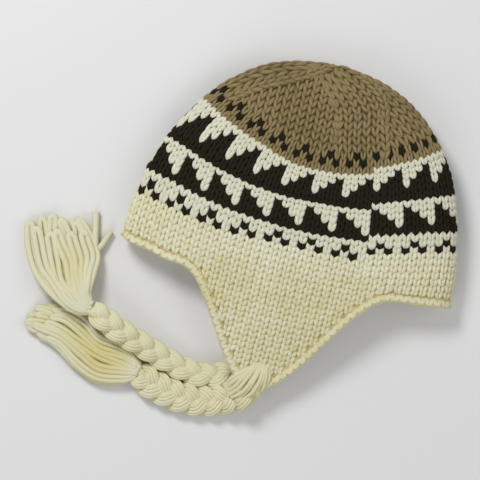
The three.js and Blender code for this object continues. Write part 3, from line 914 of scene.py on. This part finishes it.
# %% How uneven the rows are
# Rows are not quite even: millimetres that the knitting sits above its place, at a few columns and
# at a few heights in millimetres.
SHIFT_COLUMNS = (-40, -20, -16, -8, -3, 2, 6, 8.9, 9, 12, 16, 19, 20, 40)
SHIFTS = {
    -13: (0, 0, 0, 0, 0, 0, 0, 0, 0, 0, 0, 0, 0, 0),
    18: (0, -4.3, -1.9, -2.8, 0, 0, -2.2, -5.8, -2.3, -1.8, -1.8, -3.5, -3.5, 0),
    23: (0, -5.2, -3.3, -3.5, 0, 0, -2.1, -5.0, -2.3, -1.8, -1.8, -3.5, -3.5, 0),
    31: (0, -1.9, -0.4, 0.1, 0.4, -0.3, -0.8, -1.3, -3.2, -2.3, -2.3, -3.8, -4, 0),
    42: (0, -3.3, -1.6, -0.8, 0, 0, -1, -2, -1.4, -1, -1.4, -4, -4, 0),
    56: (0, -4.7, -2.8, -1.8, -0.7, 0.7, -1, -2, -1.3, -0.8, -1.5, -3.5, -3.5, 0),
    65: (0, -5, -3, -0.6, -0.3, 0.3, 0.3, 0, 0, 0.3, 0.3, -1, -1, 0),
    82: (0, 1.6, 1.7, 3.5, 0.2, -0.2, -0.2, 0.7, 1, 1.5, 1.5, 2, 2, 0),
    88: (0, 1, 1, 2.5, 0, -0.2, -0.2, 0, -2, -1.5, -1.5, 0, 0, 0),
    97: (0, 0.5, 0.5, 1, 0, 0, 0, 0, -1.5, -1, -1, 0, 0, 0),
    118: (0, 0, 0, 0, 0, 0, 0, 0, 0, 0, 0, 0, 0, 0),
}
print("heights with shifts:", list(SHIFTS))

# %% Height of each row
CROWN_PITCH = 5.9
FLAP_ROWS = 21
crown_rows = np.linspace(TAN_FOOT_ROW - 1, CROWN_TOP - 0.05, 800)
crown_line = skin(0.0, 1.0, crown_rows)
crown_run = np.concatenate([[0], np.cumsum(np.linalg.norm(np.diff(crown_line, axis=0), axis=1))])
crown_count = int(crown_run[-1] / CROWN_PITCH)
crown_steps = np.arange(crown_count + 1) * crown_run[-1] / crown_count
crown_feet = np.interp(crown_steps, crown_run, crown_rows)
flap_feet = ROW_FEET[0] + FLAP_PITCH * np.arange(-FLAP_ROWS, 0)
row_numbers = np.arange(-FLAP_ROWS, CROWN_FIRST + crown_count + 1)
row_feet = np.concatenate([flap_feet, ROW_FEET, crown_feet])


def foot_of(row):
    return np.interp(row, row_numbers, row_feet)


def height_of(column, row):
    """Where a row lies at each column. On the hidden side the round sinks by one row, so that its
    end meets the start of the next round. The sinking fades out in the base and in the crown."""
    half_round = STITCHES_ROUND // 2
    column = (column + half_round) % STITCHES_ROUND - half_round
    sunk = clamp01((column - 20) / 20) * clamp01(row / 4) * clamp01((27 - row) / 5)
    shifts = [np.interp(foot_of(row), list(SHIFTS), values) for values in zip(*SHIFTS.values())]
    return foot_of(row - sunk) + np.interp(column, SHIFT_COLUMNS, shifts)


TURN_STEPS = 1441
turn_angles = np.pi / 2 - np.linspace(0, 2 * np.pi, TURN_STEPS)


def girth(row):
    """Run round the hat at one row, from the middle of the upper side towards +X."""
    line = skin_at(turn_angles, max(foot_of(row), FLAP_ROOT_ROW))
    return np.concatenate([[0], np.cumsum(np.linalg.norm(np.diff(line, axis=0), axis=1))])


def angle_on(run, place):
    return np.interp(np.mod(place, run[-1]), run, turn_angles)


print("rows:", len(row_feet), "of which in the crown:", crown_count)


# %% Legs that are laid
LEG_SHADE = 0.6
EVEN_LEG_HEIGHT = 0.2
LEG_FLOOR_GAP = 0.05


class Laid:
    """Legs that are laid on the hat, kept as arrays until they are joined into pieces."""

    def __init__(self):
        self.sets = {}

    def add(self, key, points, lengths, tones):
        self.sets.setdefault(key, []).append((points, lengths, tones))

    def piece(self, key, name, material, slot, shade=LEG_SHADE):
        points, lengths, tones = (np.concatenate(x) for x in zip(*self.sets[key]))
        # Painted shade: each leg is painted lighter on its crest and darker down its sides, more so with a
        # larger shade.
        tones = tones[:, None] + shade * (EVEN_LEG_HEIGHT - leg.points[None, :, 2])
        obj = joined_copies(name, leg, to_frame(points), lengths * MM, tones, material)
        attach(obj, "root")
        print(name, "legs:", len(points))
        return obj


def shape_legs(at, way, out, width, length, thick, lift):
    """Copies of the leg at points, with its length along way and its round side along out."""
    across = unit(np.cross(way, out))
    out = np.cross(across, way)
    size = [np.broadcast_to(v, len(at))[:, None, None] for v in (width, length, thick)]
    p = leg.points
    points = at[:, None] + out[:, None] * np.broadcast_to(lift, len(at))[:, None, None]
    points = points + across[:, None] * p[None, :, 0:1] * size[0]
    points = points + way[:, None] * p[None, :, 1:2] * size[1]
    points = points + out[:, None] * p[None, :, 2:3] * size[2]
    points[:, :, 2] = np.maximum(points[:, :, 2], LEG_FLOOR_GAP)
    return points


laid = Laid()
print("one leg has", len(leg.points), "points")

# %% A row of stitches
# A leg starts beside its column's middle and ends near the column's edge, some rows higher. Both
# places and a leg's width are shares of the stitch's width.
LEG_SPREAD = (0.06, 0.43)
LEG_REACH = 1.65
LEG_WIDTHS = {"white": 0.58, "brown": 0.56, "tan": 0.47}
CREAM_LEG_WIDTH = 0.55
LEG_THICK = 3.7
LEG_LIFT = WALL / 2 - 0.5 * LEG_THICK + 0.25
HEM_GAP, SHORTEST_LEG = 0.6, 3.2
LENGTH_SPREAD, WIDTH_SPREAD, PLACE_SPREAD, TONE_SPREAD = 0.03, 0.04, 0.15, 0.08


def lay_row(keys, where, row, reach=LEG_REACH, floor=None, spread=LEG_SPREAD, raised=0.0, tone=0.0):
    """One row of V stitches. where gives the run round the hat at a row, the stitches' places on
    that run, and how wide they are. Legs stop at floor, and those that get too short are left out."""
    run, place, width = where(row)
    top_run, top_place, top_width = where(row + reach)
    column = place / run[-1] * STITCHES_ROUND
    for hand in (-1, 1):
        a0 = angle_on(run, place + hand * spread[0] * width)
        a1 = angle_on(top_run, top_place + hand * spread[1] * top_width)
        low, high = height_of(column, row), height_of(column, row + reach)
        kept = np.ones(len(place), bool)
        if floor is not None:
            low = np.maximum(low, floor(a0) + HEM_GAP)
            kept = high - low > SHORTEST_LEG
        foot, top = skin_at(a0, low), skin_at(a1, high)
        out = unit(outward(a0, low) + outward(a1, high))
        length = np.linalg.norm(top - foot, axis=1) * random_draw.normal(1, LENGTH_SPREAD, len(place))
        wide = width * np.array([LEG_WIDTHS.get(key, CREAM_LEG_WIDTH) for key in keys])
        wide = wide * random_draw.normal(1, WIDTH_SPREAD, len(place))
        at = (foot + top) / 2 + random_draw.normal(0, PLACE_SPREAD, (len(place), 3))
        points = shape_legs(at, unit(top - foot), out, wide, length, LEG_THICK, LEG_LIFT + raised)
        tones = tone + random_draw.normal(0, TONE_SPREAD, len(place))
        for key in sorted(set(keys)):
            own = kept & np.array([k == key for k in keys])
            if own.any():
                laid.add(key, points[own], length[own], tones[own])


print("leg lift mm:", round(LEG_LIFT, 2))

# %% Where the knitting meets the hem
# The hem's inner edge is known by its place, and the stitches need its row. The row at a place
# depends on the row itself, so it is found in a few rounds that each come closer.
HEM_LAP = 0.6
ROW_ROUNDS = 4
hem_turns = np.linspace(0, 2 * np.pi, 721)
hem_points, hem_down, _ = edge_frame(hem_turns)
hem_stops = {}
for side in (1, -1):
    near = np.sin(hem_turns) * side >= 0
    foot = hem_points[near] - hem_down[near] * (HEM_WIDTH - HEM_LAP)
    row = foot[:, 1].copy()
    for _ in range(ROW_ROUNDS):
        swing = FLAP_TIP_SHIFT[side] * (np.maximum(0, FLAP_ROOT_ROW - row) / FLAP_DROP[side]) ** 2
        u = (foot[:, 0] + swing) / HALF_BRIM
        row = foot[:, 1] - RISE_BRIM * u * u - TILT_BRIM * u
    order = np.argsort(u)
    hem_stops[side] = (u[order], row[order])


def hem_stop(angle):
    u = np.cos(angle)
    upper = np.interp(u, *hem_stops[1])
    lower = np.interp(u, *hem_stops[-1])
    return np.where(np.sin(angle) >= 0, upper, lower)


print("hem stops at rows", round(float(hem_stop(np.pi / 2)), 1), round(float(hem_stop(0.0)), 1))

# %% Rows of the base and the band
columns = np.arange(-STITCHES_ROUND // 2, STITCHES_ROUND // 2)
NAMES = {CREAM: "base", BROWN: "brown", WHITE: "white", TAN: "tan"}


def all_round(row):
    run = girth(row)
    return run, columns * run[-1] / STITCHES_ROUND, run[-1] / STITCHES_ROUND


def base_tone(row):
    """The cream is palest under the band and deepens towards the flaps."""
    return 0.3 * clamp01((WHITE_FIRST - row) / 9)


# The crown's first rows still go evenly all round.
EVEN_ROWS = 3
for row in range(-1, CROWN_FIRST + EVEN_ROWS):
    keys = [NAMES[chart(c, row)] for c in columns]
    lay_row(keys, all_round, row, floor=hem_stop if row < 3 else None, tone=base_tone(row))
print("legs so far:", {k: sum(len(x[0]) for x in v) for k, v in laid.sets.items()})

# %% Rows of the flaps
FLAP_REACH = 0.72


def on_flap(side):
    """The columns that run down one flap keep the width that they have at the brim."""
    def where(row):
        run = girth(-1)
        width = run[-1] / STITCHES_ROUND
        angle = angle_on(run, columns * width)
        own = (np.sin(angle) * side > 0) & (np.abs(np.cos(angle)) < FLAP_REACH)
        return run, columns[own] * width, width
    return where


for side, key in ((1, "flap_upper"), (-1, "flap_lower")):
    count = len(on_flap(side)(-1)[1])
    for row in range(-2, -FLAP_ROWS, -1):
        lay_row([key] * count, on_flap(side), row, floor=hem_stop, tone=base_tone(row))
print("legs so far:", {k: sum(len(x[0]) for x in v) for k, v in laid.sets.items()})

# %% [markdown]
# ## The crown
# The crown is shaped in wedges. Stitches are taken away along three lines, which show as raised ribs
# that meet at the top. Narrowing every column alike would be simpler, but the stitches would shrink
# to dots at the top. Here the columns between two ribs keep their width and stay parallel to a line
# of their own until they run into a rib: some go straight up, some follow a rib, and those at the
# sides follow the folds.

# %% Ribs and fields of the crown
# Where each rib lies, as a column, at a few heights in millimetres. The first and the last are one
# rib on the hidden side, counted from both ends of the round.
RIB_ROWS = (83, 98, 116, 130, 145, 158, 170)
RIBS = (
    (-42, -42, -42, -42, -42, -42, -42),
    (-18, -16, -14.8, -13.2, -11.4, -10.2, -10),
    (9.6, 10.4, 11, 13.2, 14.5, 14.6, 14),
    (38, 38, 38, 38, 38, 38, 38),
)
SEAM_WIDTH = 39


def rib_place(rib, row):
    run = girth(row)
    return np.interp(foot_of(row), RIB_ROWS, RIBS[rib]) / STITCHES_ROUND * run[-1]


def fold_place(column, row):
    return column / STITCHES_ROUND * girth(row)[-1]


def seam_place(row):
    """Where the straight columns meet those that follow the rib on the right."""
    return max(rib_place(2, row) - SEAM_WIDTH, rib_place(1, row))


def rib_line(rib):
    return lambda row: rib_place(rib, row)


def fold_line(column):
    return lambda row: fold_place(column, row)


# Each field: its left edge, its right edge, the line its columns follow, its stitch width, and how
# many rows a stitch takes.
FIELDS = (
    (rib_line(0), rib_line(1), fold_line(-20), 9.8, 1.35),
    (rib_line(1), seam_place, fold_line(0.4), 7.5, 1.05),
    (seam_place, rib_line(2), rib_line(2), 7.6, 1.05),
    (rib_line(2), rib_line(3), fold_line(20), 7.8, 1.15),
)
print("fields of the crown:", len(FIELDS))

# %% Rows of the crown
CROWN_REACH = 1.5
CROWN_SPREAD = (0.04, 0.47)
# The crown's legs are shifted towards the painted shade colour, so that the painted shade spreads wider over
# each leg.
CROWN_SHADE_SHIFT = 0.12
RIB_GAP = 0.8


def beside(line, numbers, stitch):
    """Places of the stitches in columns that are counted from a line."""
    return lambda row: (girth(row), line(row) + numbers * stitch, stitch)


for left, right, line, stitch, tall in FIELDS:
    for row in np.arange(CROWN_FIRST + EVEN_ROWS, CROWN_FIRST + crown_count - 0.4, tall):
        first = math.ceil((left(row) - line(row) + RIB_GAP) / stitch)
        last = math.floor((right(row) - line(row) - RIB_GAP) / stitch)
        numbers = np.arange(first, last + 1)
        if len(numbers):
            lay_row(
                ["tan"] * len(numbers), beside(line, numbers, stitch), row, CROWN_REACH * tall,
                spread=CROWN_SPREAD, tone=CROWN_SHADE_SHIFT,
            )
print("crown rows:", crown_count)

# %% Ribs of the crown
RIB_STITCH, RIB_PITCH, RIB_RAISED = 8.2, 0.95, 1.1
rib_first = CROWN_FIRST + EVEN_ROWS - 0.9
rib_last = CROWN_FIRST + crown_count - 0.9
for rib in range(1, len(RIBS)):
    for row in np.arange(rib_first, rib_last, RIB_PITCH):
        lay_row(
            ["tan"], beside(rib_line(rib), np.zeros(1), RIB_STITCH), row, CROWN_REACH,
            spread=CROWN_SPREAD, raised=RIB_RAISED, tone=CROWN_SHADE_SHIFT,
        )
print("tan legs:", sum(len(x[0]) for x in laid.sets["tan"]))

# %% Stitch pieces
# The tan and brown legs get deeper painted shade down their sides.
DEEP_SHADE = 1.0
laid.piece("tan", "crown_stitches", tan_yarn, "tan_yarn", DEEP_SHADE)
laid.piece("brown", "brown_stitches", brown_yarn, "brown_yarn", DEEP_SHADE)
laid.piece("white", "white_stitches", white_yarn, "cream_yarn")
laid.piece("base", "base_stitches", cream_yarn, "cream_yarn")
laid.piece("flap_upper", "upper_flap_stitches", cream_yarn, "cream_yarn")
laid.piece("flap_lower", "lower_flap_stitches", cream_yarn, "cream_yarn")

# %% [markdown]
# ## The wall behind the stitches
# Behind the V shapes lies the rest of each loop, the knitting's thickness. Whole loops could be
# modelled, but nobody sees them. A wall a little inside the stitches closes the gaps between them and
# makes the inside of the hat, where the purl side shows as small rows of bumps. The walls are painted
# in shade colours: the ochre, dark brown and near black that the gaps between the stitches have in
# shade, darker still between the purl bumps. Each wall is a grid that is rolled round the hat and
# given thickness by a Solidify modifier.

# %% Material of the wall
# Painted shade between the purl bumps: the colour darkens away from each bump's middle, by this much.
PURL_SHADE = 1.8


def wall_material(name, light, shade):
    made = bpy.data.materials.new(name)
    made.use_nodes = True
    tree = made.node_tree
    shader = tree.nodes["Principled BSDF"]
    shader.inputs["Roughness"].default_value = 0.95
    shader.inputs["Specular IOR Level"].default_value = 0.2
    cloud = group_node(tree, clouds, Size=120.0, Amount=1.0)
    mapped = node(tree, "ShaderNodeUVMap", uv_map="rounds")
    purl = node(tree, "ShaderNodeTexVoronoi", Scale=1.0)
    purl.feature = "SMOOTH_F1"
    link(tree, mapped.outputs[0], purl.inputs["Vector"])
    share = math_node(tree, "MULTIPLY", purl.outputs["Distance"], cloud.outputs["Cloud"])
    share = math_node(tree, "MULTIPLY", share, PURL_SHADE)
    link(tree, two_colours(tree, light, shade, share), shader.inputs["Base Color"])
    bump = node(tree, "ShaderNodeBump", Strength=0.8, Distance=0.0015)
    bump.invert = True
    link(tree, purl.outputs["Distance"], bump.inputs["Height"])
    link(tree, bump.outputs[0], shader.inputs["Normal"])
    return made


# The walls behind the stitches are painted in the shade colours of the gaps between the stitches. The hem
# roll has its own pale cream, with painted shade between its purl bumps.
cream_shade_wall = wall_material("cream_shade_wall", (0.66, 0.56, 0.30), (0.42, 0.32, 0.12))
hem_wall = wall_material("hem_wall", (0.80, 0.74, 0.48), (0.62, 0.52, 0.24))
band_shade_wall = wall_material("band_shade_wall", (0.014, 0.011, 0.006), (0.006, 0.0048, 0.0028))
tan_shade_wall = wall_material("tan_shade_wall", (0.13, 0.09, 0.032), (0.05, 0.033, 0.011))
print("walls:", [m.name for m in bpy.data.materials if m.name.endswith("wall")])

# %% A wall from a grid
WALL_OUTER = 0.75
WALL_THICK = WALL / 2 + WALL_OUTER
MERGE_DISTANCE = 0.00002


def scale_rounds(obj, bumps):
    """Names the UV map and stretches it, so that it counts the purl bumps round and up."""
    layer = obj.data.uv_layers[0]
    layer.name = "rounds"
    uv = np.empty(len(obj.data.loops) * 2, np.float32)
    layer.data.foreach_get("uv", uv)
    uv = uv.reshape(-1, 2) * np.array(bumps)
    layer.data.foreach_set("uv", uv.astype(np.float32).ravel())


def make_wall(name, node_name, surface, bumps, closed, material):
    """surface is rows x columns x 3 in the hat's millimetres, from the foot upwards. closed joins the
    two ends of a wall that goes all round."""
    rows, cols = surface.shape[:2]
    bpy.ops.object.select_all(action="DESELECT")
    bpy.ops.mesh.primitive_grid_add(x_subdivisions=cols - 1, y_subdivisions=rows - 1, size=2)
    obj = bpy.context.object
    obj.name = name
    obj.data.vertices.foreach_set("co", to_frame(surface).reshape(-1).astype(np.float32))
    scale_rounds(obj, bumps)
    bpy.ops.object.mode_set(mode="EDIT")
    bpy.ops.mesh.select_all(action="SELECT")
    if closed:
        bpy.ops.mesh.remove_doubles(threshold=MERGE_DISTANCE)
    bpy.ops.object.mode_set(mode="OBJECT")
    thick = obj.modifiers.new("thickness", "SOLIDIFY")
    thick.thickness = WALL_THICK * MM
    thick.offset = -1
    thick.use_even_offset = False
    bpy.ops.object.modifier_apply(modifier=thick.name)
    bpy.ops.object.shade_smooth()
    obj.data.materials.clear()
    obj.data.materials.append(material)
    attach(obj, "root")
    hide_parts(node_name)
    print(name, "faces:", len(obj.data.polygons))
    return obj


def wall_surface(angles, rows):
    a, r = np.broadcast_arrays(angles, rows)
    return skin_at(a, r) + outward(a, r) * WALL_OUTER


print("wall thickness mm:", WALL_THICK)

# %% Walls of the crown, the band and the base
# The grid starts a little off the middle, so that no column lies just where two sides meet. The
# crown's rows come closer together towards the top, where the wall bends most, and end in a point.
WALL_COLUMNS = 161
WALL_START = 0.0005
CROWN_CREST = CROWN_TOP - 0.4
round_angles = np.pi / 2 - np.linspace(0, 2 * np.pi, WALL_COLUMNS)[None, :] + WALL_START
crown_wall_rows = TAN_FOOT_ROW + (CROWN_CREST - TAN_FOOT_ROW) * (1 - np.linspace(1, 0, 28) ** 1.6)
crown_surface = wall_surface(round_angles, crown_wall_rows[:, None])
crown_surface[-1] = crown_surface[-1].mean(axis=0)
make_wall(
    "crown_wall", "crown", crown_surface,
    bumps=(STITCHES_ROUND, 17), closed=True, material=tan_shade_wall,
)
band_rows = np.linspace(BAND_FOOT_ROW, TAN_FOOT_ROW, 20)[:, None]
make_wall(
    "band_wall_knit", "pattern_band", wall_surface(round_angles, band_rows),
    bumps=(STITCHES_ROUND, 15), closed=True, material=band_shade_wall,
)
base_foot = np.maximum(hem_stop(round_angles[0]), FLAP_ROOT_ROW)
base_rows = base_foot[None, :] + (BAND_FOOT_ROW - base_foot)[None, :] * np.linspace(0, 1, 10)[:, None]
make_wall(
    "base_wall", "base_band", wall_surface(round_angles, base_rows),
    bumps=(STITCHES_ROUND, 7), closed=True, material=cream_shade_wall,
)

# %% Walls of the flaps
for side, label in ((1, "upper"), (-1, "lower")):
    turns = np.linspace(np.pi, 0, 241) if side > 0 else np.linspace(0, -np.pi, 241)
    turns = turns[hem_stop(turns) < FLAP_ROOT_ROW - 0.5][None, :]
    foot = hem_stop(turns[0])
    rows = foot[None, :] + (FLAP_ROOT_ROW - foot)[None, :] * np.linspace(0, 1, 24)[:, None]
    make_wall(
        f"{label}_flap_wall", f"ear_flap_{label}", wall_surface(turns, rows),
        bumps=(STITCHES_ROUND // 2, 16), closed=False, material=cream_shade_wall,
    )

# %% [markdown]
# ## The hem
# The edge of the hat is turned under and makes a soft roll all round the opening and the flaps, with
# a groove where it is sewn down. The groove's ochre is painted shade: a thin tube in the walls' ochre
# shade colour lies in it. A curve with a bevel could make the roll, but it would twist at the folds,
# so a torus is bent along the edge instead. Shallow slanting legs, almost flush with the roll, show
# the stitches that run over it.

# %% Run along the hem
HEM_STEPS = 220
HEM_SECTION = 12
HEM_STITCH = 7.0
fine_turns = np.linspace(0, 2 * np.pi, 4001)[:-1]
fine_edge = skin_at(fine_turns, edge_row(fine_turns))
fine_run = np.concatenate([[0], np.cumsum(np.linalg.norm(np.diff(fine_edge, axis=0), axis=1))])
hem_length = fine_run[-1] + np.linalg.norm(fine_edge[0] - fine_edge[-1])
hem_columns = int(round(hem_length / HEM_STITCH))
hem_pitch = hem_length / hem_columns


def hem_frame(run):
    """The roll's middle line at a run along the edge, the way down off it and the way out."""
    turn = np.interp(np.mod(run, hem_length), fine_run, fine_turns)
    point, down, out = edge_frame(turn)
    centre = point - down * HEM_WIDTH / 2
    centre[:, 2] = np.maximum(centre[:, 2], HEM_HALF_THICK)
    return centre, down, out


print("hem length mm:", round(float(hem_length)), "stitches:", hem_columns)


# %% Roll, and painted shade in its groove
def make_ring(name, shift_down, shift_out, half_width, half_thick, material):
    """A torus bent along the hem, moved off the hem's middle line by the two shifts."""
    bpy.ops.object.select_all(action="DESELECT")
    bpy.ops.mesh.primitive_torus_add(
        major_segments=HEM_STEPS, minor_segments=HEM_SECTION, major_radius=1, minor_radius=0.1
    )
    obj = bpy.context.object
    obj.name = name
    centre, down, out = hem_frame(np.arange(HEM_STEPS) * hem_length / HEM_STEPS)
    section = 2 * np.pi * np.arange(HEM_SECTION) / HEM_SECTION
    ring = (
        centre[:, None]
        + down[:, None] * (shift_down + np.cos(section) * half_width)[None, :, None]
        + out[:, None] * (shift_out + np.sin(section) * half_thick)[None, :, None]
    )
    obj.data.vertices.foreach_set("co", to_frame(ring).reshape(-1).astype(np.float32))
    bpy.ops.object.mode_set(mode="EDIT")
    bpy.ops.mesh.select_all(action="SELECT")
    bpy.ops.mesh.normals_make_consistent(inside=False)
    bpy.ops.object.mode_set(mode="OBJECT")
    bpy.ops.object.shade_smooth()
    scale_rounds(obj, (2 * hem_columns, 5))
    obj.data.materials.clear()
    obj.data.materials.append(material)
    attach(obj, "root")
    return obj


hem_core = make_ring(
    "hem_core", shift_down=0, shift_out=0, half_width=HEM_WIDTH / 2, half_thick=HEM_HALF_THICK,
    material=hem_wall,
)
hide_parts("hem_roll")
# A thin tube in the ochre shade colour of the walls lies in the groove: painted shade.
make_ring(
    "hem_groove_shade", shift_down=-HEM_WIDTH / 2 - 0.3, shift_out=1.1, half_width=1.2, half_thick=1.1,
    material=cream_shade_wall,
)
print("rings along the hem:", HEM_STEPS, "steps of", HEM_SECTION)

# %% Stitches on the hem
# The legs lie on top of the roll, a little towards the knitting, and slant to both sides.
HEM_LEG_TURN = math.radians(103)
HEM_LEG_SLANT = 0.45
HEM_LEG = {"width": 4.6, "length": 7.0, "thick": 1.2, "lift": -0.46}
HEM_FIBRE_LENGTH = 9.0
HEM_TONE, HEM_TONE_SPREAD = 0.25, 0.07
aside, above = math.cos(HEM_LEG_TURN), math.sin(HEM_LEG_TURN)
for hand in (-1, 1):
    run = (np.arange(hem_columns) + 0.25 * hand) * hem_pitch
    centre, down, out = hem_frame(run)
    along = unit(hem_frame(run + 0.5)[0] - hem_frame(run - 0.5)[0])
    normal = unit(down * aside + out * above)
    at = centre + down * aside * (HEM_WIDTH / 2) + out * above * HEM_HALF_THICK
    way = unit(-down * above + out * aside)
    way = unit(way * math.cos(HEM_LEG_SLANT) + along * (hand * math.sin(HEM_LEG_SLANT)))
    points = shape_legs(at, way, normal, **HEM_LEG)
    tones = random_draw.normal(HEM_TONE, HEM_TONE_SPREAD, len(at))
    laid.add("hem", points, np.full(len(at), HEM_FIBRE_LENGTH), tones)
laid.piece("hem", "hem_stitches", cream_yarn, "cream_yarn")

# %% [markdown]
# ## Floor
# The hat lies on a plain pale floor. A single flat colour would do, but the faintest cloud keeps it
# from looking like cut paper. The floor belongs to the stage and not to the hat.

# %% Floor
bpy.ops.object.select_all(action="DESELECT")
bpy.ops.mesh.primitive_plane_add(size=6, location=(0, 0, 0))
floor = bpy.context.object
floor.name = "floor"
floor_paint = bpy.data.materials.new("pale_floor")
floor_paint.use_nodes = True
tree = floor_paint.node_tree
shader = tree.nodes["Principled BSDF"]
shader.inputs["Roughness"].default_value = 0.8
cloud = group_node(tree, clouds, Size=2.0)
pale = two_colours(tree, (0.80, 0.80, 0.80), (0.76, 0.76, 0.77), cloud.outputs["Cloud"])
link(tree, pale, shader.inputs["Base Color"])
floor.data.materials.append(floor_paint)
print("floor:", floor.name)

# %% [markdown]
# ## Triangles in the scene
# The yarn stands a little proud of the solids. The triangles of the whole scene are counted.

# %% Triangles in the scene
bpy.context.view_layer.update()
triangles = sum(
    len(p.vertices) - 2 for o in bpy.data.objects if o.type == "MESH" for p in o.data.polygons
)
print("triangles in the scene:", triangles)
